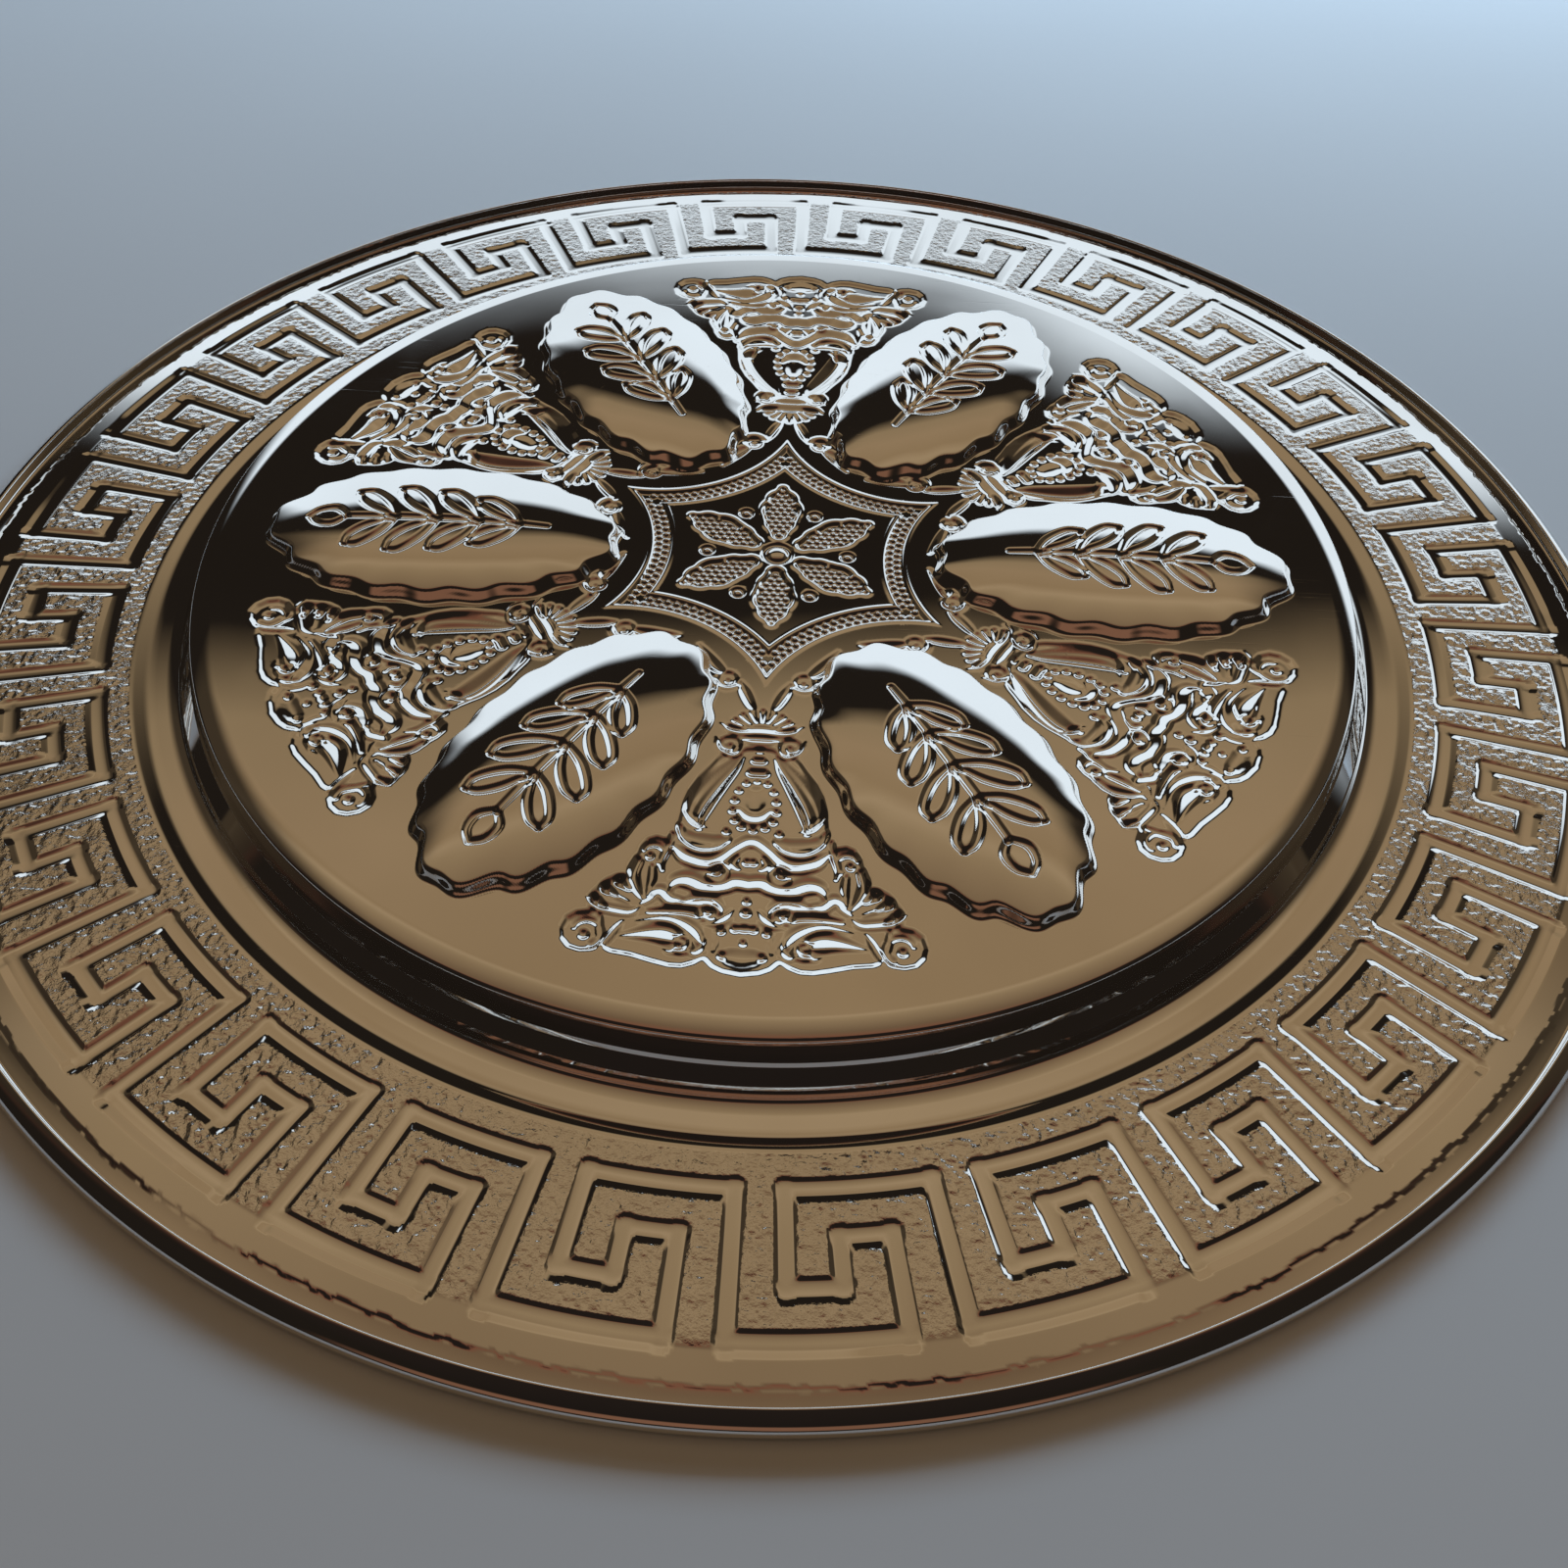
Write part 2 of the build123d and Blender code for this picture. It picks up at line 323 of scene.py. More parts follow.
    # ---- medallion with its ring of dots
    s.bowl([(0, 728, 30), (0, 760, 38), (0, 790, 30)], 0.24)
    s.step([(-48, 806, 8), (-26, 832, 14), (0, 840, 15), (26, 832, 14), (48, 806, 8)])
    for w, y, r in ((0, 682, 13), (33, 690, 15), (54, 722, 15), (64, 762, 16), (66, 804, 17), (58, 842, 17), (36, 868, 16), (0, 880, 16)):
        s.dig([(w, y, r), (w, y + 1, r)], 0.52, False)
    s.bowl([(-18, 646, 22), (18, 646, 22)], 0.80, False)
    s.bowl([(-10, 595, 19), (10, 595, 19)], 0.76, False)
    s.bowl([(-8, 556, 10), (8, 556, 10)], 0.60, False)
    # ---- knot and its two curls
    s.step([(-50, 519, 7), (-27, 521, 11), (0, 521, 11), (27, 521, 11), (50, 519, 7)])
    s.trough([(96, 540, 44), (96, 541, 44)], 0.60, 0.9, False)
    s.step([(56, 556, 5), (79, 570, 11), (105, 566, 12), (127, 545, 10), (136, 518, 5)])
    s.dig([(94, 540, 17), (94, 541, 17)], 0.40, False)
    # ---- fluted shell
    for k in range(-4, 5):
        ang = math.radians(k * 19.5)
        w0, y0 = 52 * math.sin(ang), 482 - 44 * math.cos(ang)
        w1, y1 = 100 * math.sin(ang), 482 - 92 * math.cos(ang)
        if w1 > -12:
            s.bowl([(w0, y0, 8), ((w0 + w1) / 2, (y0 + y1) / 2, 14), (w1, y1, 16)], 0.95)
    s.step([(-42, 481, 13), (0, 478, 14), (42, 481, 13), (73, 482, 12), (103, 474, 9), (125, 455, 5)])
    # ---- neck between the shell and the star
    s.bowl([(82, 262, 9), (66, 302, 20), (46, 350, 19), (30, 386, 10)], 0.80)
    # ---- curl and leaf beside the star
    s.trough([(126, 246, 40), (126, 247, 40)], 0.58, 0.9, False)
    s.step([(92, 276, 8), (120, 286, 10), (148, 280, 10), (166, 258, 7), (170, 236, 4)])
    s.dig([(124, 250, 15), (124, 251, 15)], 0.36, False)
    s.bowl([(232, 96, 8), (212, 136, 22), (184, 178, 28), (158, 206, 22), (142, 218, 12)], 0.84)
    s.settle()
    return s


# ------------------------------------------------------------------ star frame, rosette, wells
C30, S30 = math.cos(math.pi / 6), math.sin(math.pi / 6)


def well_axes():
    s = along * C30 + side_abs * S30          # out along the well
    t = np.abs(-along * S30 + side_abs * C30)  # across it
    return s, t


def star_and_wells(sheet):
    z = sheet.z
    s, t = well_axes()
    # band between two arcs that face the well
    c, inner, outer = 50.06, 30.9, 27.6
    D = np.hypot(s - c, t)
    near = s < 46
    edge = np.minimum(D - outer, inner - D)
    z = np.where(near & (edge > -0.01), np.minimum(z, -0.5 * smooth(edge / 0.5)), z)
    # thin lip on both sides of the band
    for rr in (outer - 0.35, inner + 0.35):
        q = np.clip(np.abs(D - rr) / 0.45, 0, 1)
        z = z + np.where(near & (along < 37), 0.10 * (1 - q * q), 0)
    # two staggered rows of beads
    pitch = 1.55
    for row, rr in ((0, 28.62), (1, 29.92)):
        n = int(30 / pitch)
        for k in range(-n, n + 1):
            ang = (k + 0.5 * row) * pitch / 28.8
            ps, pt = c - rr * math.cos(ang), rr * math.sin(ang)
            pa, pb = ps * C30 - pt * S30, ps * S30 + pt * C30
            if pb < 0.55 or pt > 0.05:
                continue
            bead(z, pa, pb, 0.60, 0.46)
    # rosette: six bead-filled petals
    pts = [(5.2, 1.3), (8.6, 2.7), (12.2, 3.5), (15.2, 2.5), (18.6, 0.45)]
    petal = np.full(z.shape, 1e3)
    for (a0, r0), (a1, r1) in zip(pts, pts[1:]):
        u = np.clip((along - a0) / (a1 - a0), 0, 1)
        petal = np.minimum(petal, np.hypot(along - a0 - u * (a1 - a0), side_abs) - (r0 + u * (r1 - r0)))
    z = np.where(petal < 0, np.minimum(z, -0.55 * smooth(-petal / 0.55)), z)
    q = np.clip(np.abs(petal - 0.35) / 0.42, 0, 1)
    z = z + 0.12 * (1 - q * q)
    step = 1.42
    for i in range(-1, 12):
        for j in range(0, 5):
            pa = 5.6 + i * step * 0.87
            pb = (j + (0.5 if i % 2 else 0.0)) * step
            room = petal_room(pts, pa, pb)
            if room > 0.62:
                bead(z, pa, pb, 0.56, 0.42)
    # boss in the middle and a bead between the petals
    rr = np.hypot(along, side_abs)
    z = np.where(rr < 3.1, np.minimum(z, 0) - 0.45 * smooth((3.1 - rr) / 0.5), z)
    z = z + np.where(rr < 1.9, 0.75 * np.sqrt(np.clip(1 - (rr / 1.9) ** 2, 0, 1)), 0)
    d = np.hypot(s - 12.6, t)
    z = z - 0.50 * smooth((1.5 - d) / 0.5)
    z = z + np.where(d < 0.85, 0.55 * np.sqrt(np.clip(1 - (d / 0.85) ** 2, 0, 1)), 0)
    # food well
    X = (s - (WELL_IN + WELL_OUT) / 2) / ((WELL_OUT - WELL_IN) / 2)
    Y = t / WELL_HALF
    rho = np.hypot(X, Y) + 1e-9
    ang = np.arctan2(Y, X)
    share = [(1.000, 0.00), (0.930, 0.42), (0.840, 0.72), (0.715, 0.91), (0.570, 0.99), (0.425, 0.985), (0.280, 0.89), (0.145, 0.69),
             (0.052, 0.43), (0.000, 0.00)]
    ca = np.array([math.atan2(v, 2 * u - 1) for u, v in share])
    cr = np.array([math.hypot(v, 2 * u - 1) for u, v in share])
    ca[-1] = math.pi
    k = np.clip(np.searchsorted(ca, ang, side="right") - 1, 0, len(ca) - 2)
    f = (ang - ca[k]) / (ca[k + 1] - ca[k])
    lobe = np.sin(math.pi * f) ** 2
    rho_e = cr[k] + smooth(f) * (cr[k + 1] - cr[k]) + 0.040 * lobe
    grad = np.hypot(X / (rho * (WELL_OUT - WELL_IN) / 2), Y / (rho * WELL_HALF))
    e = (rho - rho_e) / grad
    q = np.clip(rho / rho_e, 0, 1)
    # the scallops die out towards the crown
    share_e = 0.22 * smooth((rho - 0.62) / 0.38)
    m = (1 - share_e) * np.clip(rho / 1.02, 0, 1.05) + share_e * q
    dome = WELL_CROWN * (1 - (0.6 * m ** 2 + 0.4 * m ** 4)) * (e < 0.4)
    wall = WELL_WALL * smooth((0.2 - e) / 1.5)
    inside = smooth((0.1 - e) / 1.4)
    z = np.where(e < 0.3, wall + dome * inside, z)
    sheet.z = z
    sheet.well_edge = e
    # sprig pressed into the well's floor: a stem with pairs of leaves
    mid = (WELL_IN + WELL_OUT) / 2

    def groove(points, depth):
        p = spline([(a, b, r) for a, b, r in points], 6)
        best = np.full(z.shape, 1e3)
        rad = np.ones(z.shape)
        ds = s - mid
        for i in range(len(p) - 1):
            da, db = p[i + 1, 0] - p[i, 0], p[i + 1, 1] - p[i, 1]
            u = np.clip(((ds - p[i, 0]) * da + (t - p[i, 1]) * db) / (da * da + db * db + 1e-12), 0, 1)
            dd = np.hypot(ds - p[i, 0] - u * da, t - p[i, 1] - u * db)
            rr = p[i, 2] + u * (p[i + 1, 2] - p[i, 2])
            hit = dd - rr < best
            best = np.where(hit, dd - rr, best)
            rad = np.where(hit, rr, rad)
        qq = np.clip((best + rad) / rad, 0, 1)
        sheet.z = sheet.z - depth * (1 - qq * qq)

    groove([(-19, 0, 0.6), (-6, 0, 0.95), (8, 0, 0.95), (17, 0, 0.75)], 0.5)
    for a, n in ((-14, 6.0), (-7, 7.6), (0.5, 8.2), (8, 7.0)):
        groove([(a, 0.3, 0.7), (a + 2.0, n * 0.58, 0.95), (a + 5.4, n * 1.02, 0.85), (a + 8.0, n * 1.04, 0.6)], 0.5)
        groove([(a + 0.8, 0.5, 0.6), (a + 4.8, n * 0.34, 0.9), (a + 7.5, n * 0.70, 0.8), (a + 8.1, n * 1.0, 0.6)], 0.5)
    groove([(17, 0.2, 0.6), (19.2, 2.1, 0.85), (22.0, 1.8, 0.75), (23.8, 0.0, 0.6)], 0.5)


def petal_room(pts, pa, pb):
    best = -9.0
    for (a0, r0), (a1, r1) in zip(pts, pts[1:]):
        u = min(1.0, max(0.0, (pa - a0) / (a1 - a0)))
        best = max(best, (r0 + u * (r1 - r0)) - math.hypot(pa - a0 - u * (a1 - a0), pb))
    return best


def bead(z, a, b, r, h):
    win = window(a - r - 0.2, a + r + 0.2, b - r - 0.2, b + r + 0.2)
    A, B = along[win[0]], side[:, win[1]]
    q = np.hypot(A - a, B - b) / r
    z[win] += h * np.sqrt(np.clip(1 - q * q, 0, 1))


def disc_relief():
    sheet = ornament()
    sheet.z = mirror_edge(sheet.z)
    sheet.blur(0.15)
    star_and_wells(sheet)
    sheet.z = mirror_edge(sheet.z)
    sheet.blur(0.13)
    sheet.z = mirror_edge(sheet.z)
    return sheet.z


# ------------------------------------------------------------------ key band, one unit of it
KU, KR, KR0 = 560, 800, 110.0
key_u = np.arange(KU)[:, None] / KU
key_r = KR0 + 0.05 * np.arange(KR)[None, :]
KEY_PITCH = 2 * math.pi / KEY_COUNT


# half width of a ribbon's floor; width of its walls: at the sides, towards the plate's centre, towards the edge, mm
RIBBON, WALL_SIDE, WALL_IN, WALL_OUT = 1.05, 0.62, 0.60, 1.30


def key_relief():
    path = [(-0.25, 0), (-0.25, 3), (0.5, 3), (0.5, 1), (0.25, 1), (0.25, 2), (0.0, 2), (0.0, 0), (0.75, 0)]
    half = RIBBON
    field = np.full((KU, KR), 50.0)
    k, turn = 1.0, 1.2
    for (u0, r0), (u1, r1) in zip(path, path[1:]):
        ra, rb = KEY_ROWS[r0], KEY_ROWS[r1]
        cu, hu = (u0 + u1) / 2, abs(u1 - u0) / 2
        cr, hr = (ra + rb) / 2, abs(ra - rb) / 2
        du = np.abs((key_u - cu + 0.5) % 1.0 - 0.5)
        dx = ((du - hu) * KEY_PITCH * key_r - half) / WALL_SIDE
        dy = (np.abs(key_r - cr) - hr - half) / np.where(key_r > cr, WALL_OUT, WALL_IN)
        # box with rounded corners
        dx, dy = dx + turn, dy + turn
        d = np.hypot(np.maximum(dx, 0), np.maximum(dy, 0)) + np.minimum(np.maximum(dx, dy), 0) - turn
        h = np.clip(0.5 + 0.5 * (field - d) / k, 0, 1)
        field = field * (1 - h) + d * h - k * h * (1 - h)
    # a ribbon's floor curves up a little to its walls
    plateau = 0.14 * np.clip(1 + field / 1.2, 0, 1) ** 2 + 0.86 * np.clip(field, 0, 1)
    # soften
    for axis, reach in ((0, 3), (1, 3)):
        acc = np.zeros_like(plateau)
        tot = 0.0
        for i in range(-reach, reach + 1):
            wgt = math.exp(-0.5 * (i / 1.1) ** 2)
            acc += wgt * np.roll(plateau, i, axis=axis)
            tot += wgt
        plateau = acc / tot
    return plateau


def bilinear(grid, x, y):
    n, m = grid.shape
    x = np.clip(x, 0, n - 1.001)
    y = np.clip(y, 0, m - 1.001)
    i, j = x.astype(np.int64), y.astype(np.int64)
    f, g = x - i, y - j
    return (grid[i, j] * (1 - f) * (1 - g) + grid[i + 1, j] * f * (1 - g) + grid[i, j + 1] * (1 - f) * g + grid[i + 1, j + 1] * f * g)


disc_z = disc_relief()
disc_ga, disc_gs = np.gradient(disc_z, CELL)
key_p = key_relief()
key_pp = np.concatenate([key_p, key_p[:2]], 0)
key_gu = (np.roll(key_p, -1, 0) - np.roll(key_p, 1, 0)) * (KU / 2)
key_gu = np.concatenate([key_gu, key_gu[:2]], 0)
key_gr = np.gradient(key_p, 0.05, axis=1)
key_gr = np.concatenate([key_gr, key_gr[:2]], 0)


def disc_sample(r, phi):
    # height and slope (d/dr, d/(r dphi)) of the disc's relief
    q = np.mod(phi, math.pi / 3) - math.pi / 6
    sg = np.sign(q)
    a, b = r * np.cos(q), r * np.abs(np.sin(q))
    x, y = (a - ALONG0) / CELL, (b - SIDE0) / CELL
    z = bilinear(disc_z, x, y)
    ga, gs = bilinear(disc_ga, x, y), bilinear(disc_gs, x, y) * sg
    dr = ga * np.cos(q) + gs * np.sin(q)
    dt = -ga * np.sin(q) + gs * np.cos(q)
    return z, dr, dt


def lattice(ix, iy, seed):
    n = (ix * 374761393 + iy * 668265263 + seed * 974711) & 0x7FFFFFFF
    n = ((n ^ (n >> 13)) * 1274126177) & 0x7FFFFFFF
    n = n ^ (n >> 16)
    return (n & 0xFFFF) / 65535.0


def noise(x, y, seed):
    ix, iy = np.floor(x).astype(np.int64), np.floor(y).astype(np.int64)
    f, g = x - ix, y - iy
    f, g = f * f * f * (f * (6 * f - 15) + 10), g * g * g * (g * (6 * g - 15) + 10)
    a = lattice(ix, iy, seed) * (1 - f) + lattice(ix + 1, iy, seed) * f
    b = lattice(ix, iy + 1, seed) * (1 - f) + lattice(ix + 1, iy + 1, seed) * f
    return a * (1 - g) + b * g - 0.5


def hammered(x, y):
    # stippled ground between the keys, mm; heavier in some places than in others
    wx = x + 0.5 * noise(x / 2.3, y / 2.3, 3)
    wy = y + 0.5 * noise(x / 2.3, y / 2.3, 5)
    turn = np.degrees(np.arctan2(y, x)) % 360.0
    near, far = (turn - 260.0) / 17.0, (turn - 98.0) / 54.0
    heavy = (0.8 + 0.6 * smooth(0.5 + 1.3 * noise(x / 46.0 + 7.3, y / 46.0 + 2.1, 41))) * (1.45 - 0.6 * np.exp(-near * near) - 1.15 * np.exp(-far * far))
    return heavy * (0.115 * noise(wx / 0.82, wy / 0.82, 11) + 0.05 * noise(x / 2.6, y / 2.6, 17))


def band_edge(phi):
    # the band ends in a ragged line
    s = phi * KEY_OUT
    ragged = 0.55 * noise(s / 1.2, s * 0, 51) + 0.2 * noise(s / 6.1, s * 0, 53)
    return KEY_OUT + ragged + 0.06 * np.sin(17 * phi + 1.0)


def outer_share(r, phi):
    # the strip outside the last ribbon is pressed less deep, more so in some places
    less = 0.12 + 0.34 * smooth(0.5 + 4.0 * noise(phi * 9.0, phi * 0, 61))
    return 1 - less * smooth((r - 140.6) / 1.5)


# the land curves up to the band: slope at some radii, and the height that comes of it
rise_r = np.linspace(110.0, 148.0, 3801)
rise_s = np.interp(rise_r, (110.0, 111.0, 111.6, 111.9, 113.5, 114.3, 141.0, 141.6, 146.3, 147.0), (0.0, 0.03, 0.13, 0.186, 0.186, 0.0, 0.0, -0.044, -0.044, 0.0))
rise_h = np.concatenate([[0.0], np.cumsum((rise_s[1:] + rise_s[:-1]) * 0.005)])


# the strip outside the band falls towards the curled edge
fall_r = np.linspace(146.0, 149.0, 301)
fall_s = np.interp(fall_r, (146.6, 147.0, 148.95), (0.0, -0.15, -0.10))
fall_h = np.concatenate([[0.0], np.cumsum((fall_s[1:] + fall_s[:-1]) * 0.005)])
FOOT = RIM + float(np.interp(148.95, fall_r, fall_h))


def key_sample(r, phi):
    u = np.mod((math.radians(KEY_START) - phi) / KEY_PITCH, 1.0)
    x, y = u * KU, (r - KR0) / 0.05
    p = bilinear(key_pp, x, y)
    gr = bilinear(key_gr, x, y)
    gt = -bilinear(key_gu, x, y) / (KEY_PITCH * r)
    e = band_edge(phi)
    h = 0.02
    out, share = smooth((e + 0.55 - r) / 0.75), outer_share(r, phi)
    dout = (smooth((e + 0.55 - r - h) / 0.75) - out) / h
    dshare = (outer_share(r + h, phi) - share) / h
    step = KEY_STEP * (1 - 0.58 * np.exp(-((np.degrees(phi) % 360.0 - 90.0) / 44.0) ** 2))
    base = np.interp(r, rise_r, rise_h) - step * (1 - p * share)
    px, py = r * np.cos(phi), r * np.sin(phi)
    n0 = hammered(px, py)
    nx = (hammered(px + 0.05, py) - n0) / 0.05
    ny = (hammered(px, py + 0.05) - n0) / 0.05
    m = smooth((p * out * smooth((r - 113.8) / 0.8) - 0.9) / 0.09) * smooth((141.9 - r) / 0.9)
    z = out * base + m * n0 + np.interp(r, fall_r, fall_h)
    dr = out * (np.interp(r, rise_r, rise_s) + step * (gr * share + p * dshare)) + dout * base + m * (nx * np.cos(phi) + ny * np.sin(phi)) + np.interp(r, fall_r, fall_s)
    dt = out * step * gt * share + m * (-nx * np.sin(phi) + ny * np.cos(phi))
    return z, dr, dt, m


# ================================================================== section of the sheet
# a section is a list of (radius, height, tangent, tangent)
def straight(p, q, step):
    dx, dy = q[0] - p[0], q[1] - p[1]
    ln = math.hypot(dx, dy)
    n = max(1, int(ln / step + 0.5))
    return [(p[0] + dx * k / n, p[1] + dy * k / n, dx / ln, dy / ln) for k in range(n + 1)]


def arc(cx, cy, r, a0, a1, n):
    out = []
    way = 1.0 if a1 > a0 else -1.0
    for k in range(n + 1):
        a = math.radians(a0 + (a1 - a0) * k / n)
        out.append((cx + r * math.cos(a), cy + r * math.sin(a), -way * math.sin(a), way * math.cos(a)))
    return out


def bent(points, step, arc_step):
    # (x, y, bend radius) to a section
    out = []
    here = points[0][:2]
    for i in range(1, len(points)):
        x, y, r = points[i]
        if i == len(points) - 1:
            out += straight(here, (x, y), step)
            break
        px, py = points[i - 1][:2]
        nx, ny = points[i + 1][:2]
        ux, uy, vx, vy = px - x, py - y, nx - x, ny - y
        ul, vl = math.hypot(ux, uy), math.hypot(vx, vy)
        ux, uy, vx, vy = ux / ul, uy / ul, vx / vl, vy / vl
        half = math.acos(max(-1, min(1, ux * vx + uy * vy))) / 2
        cut = r / math.tan(half)
        bx, by = ux + vx, uy + vy
        bl = math.hypot(bx, by)
        cx, cy = x + bx / bl * r / math.sin(half), y + by / bl * r / math.sin(half)
        a0 = math.degrees(math.atan2(y + uy * cut - cy, x + ux * cut - cx))
        a1 = math.degrees(math.atan2(y + vy * cut - cy, x + vx * cut - cx))
        da = (a1 - a0 + 180) % 360 - 180
        out += straight(here, (x + ux * cut, y + uy * cut), step)
        out += arc(cx, cy, r, a0, a0 + da, max(3, int(math.radians(abs(da)) * r / arc_step) + 1))[1:]
        here = (x + vx * cut, y + vy * cut)
    clean = [out[0]]
    for q in out[1:]:
        if math.hypot(q[0] - clean[-1][0], q[1] - clean[-1][1]) > 1e-4:
            clean.append(q)
    return clean


edge_r = 101.2
# shoulder: a slow bend, then a tight one into the wall; foot: a tight bend, then a slow one out of it
LEAD, TURN = 16.7, 67.1
soft = arc(98.4, DISC - 11.5, 11.5, 90, 90 - LEAD, 14)
tip = soft[-1]
tight = arc(tip[0] - 0.9 * math.sin(math.radians(LEAD)), tip[1] - 0.9 * math.cos(math.radians(LEAD)), 0.9, 90 - LEAD, 90 - TURN, 8)
toe_r, toe_z = 106.5, RIM + 8.0 * (1 - math.cos(math.radians(13.0)))
toe_tight = arc(toe_r + math.sin(math.radians(13.0)), toe_z + math.cos(math.radians(13.0)), 1.0, -90 - 70, -90 - 13, 7)
toe_soft = arc(toe_r + 8.0 * math.sin(math.radians(13.0)), RIM + 8.0, 8.0, -90 - 13, -90, 9)
# two press lines: narrow facets that lean a little differently from the wall
side_wall = bent([tight[-1][:2] + (0,), (102.98, DISC - 4.95, 0.08), (103.31, DISC - 5.57, 0.08), (105.34, DISC - 7.50, 0.08),
                  (105.60, DISC - 7.99, 0.08), toe_tight[0][:2] + (0,)], 0.7, 0.22)
LAND = toe_soft[-1][0]
wall_back = (straight((96.0, DISC), (98.4, DISC), 0.7) + soft[1:] + tight[1:] + side_wall[1:-1] + toe_tight + toe_soft[1:] + straight((LAND, RIM), (110.0, RIM), 0.6)[1:])
CREST, BEAD_IN, TOP = 149.95, 149.45, 3.2
BIG = RADIUS - CREST
MID = TOP - BIG
ROOF = 16.0           # the outside of the curl falls away at once from its crest, degrees


def roof():
    # quarter of an ellipse from the crest to the widest point
    x0 = BEAD_IN + 0.3 + 0.3 * math.sin(math.radians(ROOF))
    z0 = TOP - 0.3 + 0.3 * math.cos(math.radians(ROOF))
    best = None
    for k in range(1, 900):
        th = math.radians(0.1 * k)
        a = (RADIUS - x0) / (1 - math.cos(th))
        b = (z0 - MID) / math.sin(th)
        miss = abs(math.degrees(math.atan2(b * math.cos(th), a * math.sin(th))) - ROOF)
        if best is None or miss < best[0]:
            best = (miss, th, a, b)
    th, a, b = best[1:]
    out = []
    for k in range(17):
        u = th * (1 - k / 16)
        tx, tz = a * math.sin(u), -b * math.cos(u)
        ln = math.hypot(tx, tz)
        out.append((RADIUS - a + a * math.cos(u), MID + b * math.sin(u), tx / ln, tz / ln))
    return out


bead_line = (straight((147.9, RIM + float(np.interp(147.9, fall_r, fall_h))), (148.95, FOOT), 0.5) + arc(148.95, FOOT + 0.5, 0.5, -90, 0, 6)[1:]
             + straight((BEAD_IN, FOOT + 0.5), (BEAD_IN, TOP - 0.5), 0.5)[1:]
             + arc(BEAD_IN + 0.3, TOP - 0.3, 0.3, 180, 90 - ROOF, 8)[1:] + roof()[1:] + arc(RADIUS - MID, MID, MID, 0, -90, 9)[1:]
             + straight((RADIUS - MID, 0.0), (150.2, 0.0), 0.5)[1:])
INSIDE = BEAD_IN + SHEET
CURL = BIG - SHEET
a_end = math.degrees(math.acos((INSIDE - CREST) / CURL))
curl_line = (straight((150.2, SHEET), (RADIUS - MID, SHEET), 0.5) + arc(RADIUS - MID, MID, MID - SHEET, -90, 0, 3)[1:] + arc(CREST, MID, CURL, 0, a_end, 9)[1:]
             + straight((INSIDE, MID + CURL * math.sin(math.radians(a_end))), (INSIDE, FOOT + 0.3), 0.6)[1:] + arc(INSIDE - 0.9, FOOT + 0.3, 0.9, 0, -90, 6)[1:])
wall_front = [(r + tz * SHEET, z - tr * SHEET, -tr, -tz, r) for r, z, tr, tz in wall_back][::-1]


# rows of the mesh, from the middle of the back, round the curled edge, to the middle of the front:
# (radius, height, kind, radius at which the relief is read, tangent, tangent)
PLAIN, ON_DISC, ON_KEY = 0, 1, 2
COLS = 2016
ZONES = []            # first row, last row, column step
rows = [(0.35, DISC, ON_DISC, 0.35, 1.0, 0.0)]


def add_zone(items, stride):
    start = len(rows) - 1
    rows.extend(items)
    ZONES.append((start, len(rows) - 1, stride))


def radii(r0, r1, step):
    n = max(1, int(round(abs(r1 - r0) / step)))
    return [r0 + (r1 - r0) * k / n for k in range(1, n + 1)]


def level(r0, r1, step, z, kind):
    way = 1.0 if r1 > r0 else -1.0
    return [(r, z, kind, r, way, 0.0) for r in radii(r0, r1, step)]


add_zone(level(0.35, 2.7, 0.26, DISC, ON_DISC), 32)
add_zone(level(2.7, 5.5, 0.23, DISC, ON_DISC), 16)
add_zone(level(5.5, 11.0, 0.23, DISC, ON_DISC), 8)
add_zone(level(11.0, 22.0, 0.22, DISC, ON_DISC), 4)
add_zone(level(22.0, 45.0, 0.21, DISC, ON_DISC), 2)
add_zone(level(45.0, 93.0, 0.24, DISC, ON_DISC), 1)
add_zone(level(93.0, 96.0, 0.75, DISC, ON_DISC), 4)
add_zone([(r, z, PLAIN, r, tr, tz) for r, z, tr, tz in wall_back[1:]], 4)
# rows of the key band lie close together at the ribbons' walls
marks = [110.0, 147.9]
for ring in KEY_ROWS:
    for way, wide in ((-1, WALL_IN), (1, WALL_OUT)):
        for off in (RIBBON - 0.09, RIBBON + 0.07, RIBBON + wide / 2, RIBBON + wide - 0.07, RIBBON + wide + 0.09):
            marks.append(ring + way * off)
marks.sort()
key_radii = []
for r0, r1 in zip(marks, marks[1:]):
    key_radii += radii(r0, r1, 0.36)
add_zone([(r, RIM, ON_KEY, r, 1.0, 0.0) for r in key_radii], 1)
add_zone([(r, z, PLAIN, r, tr, tz) for r, z, tr, tz in bead_line[1:]], 4)
LAST_BACK = len(rows) - 1
OUTER = max(range(len(rows)), key=lambda i: rows[i][0])
add_zone([(r, z, PLAIN, r, tr, tz) for r, z, tr, tz in curl_line], 4)
LAST_CURL = len(rows) - 1
add_zone([(147.9, RIM - SHEET, ON_KEY, 147.9, -1.0, 0.0)], 4)
add_zone(level(147.9, 110.0, 0.7, RIM - SHEET, ON_KEY), 2)
add_zone([(r, z, PLAIN, s, tr, tz) for r, z, tr, tz, s in wall_front[1:]], 8)
add_zone(level(96.0, 93.0, 1.5, DISC - SHEET, ON_DISC), 8)
add_zone(level(93.0, 45.0, 0.46, DISC - SHEET, ON_DISC), 2)
add_zone(level(45.0, 22.0, 0.42, DISC - SHEET, ON_DISC), 4)
add_zone(level(22.0, 11.0, 0.42, DISC - SHEET, ON_DISC), 8)
add_zone(level(11.0, 5.5, 0.45, DISC - SHEET, ON_DISC), 16)
add_zone(level(5.5, 0.4, 0.45, DISC - SHEET, ON_DISC), 32)
NROW = len(rows)
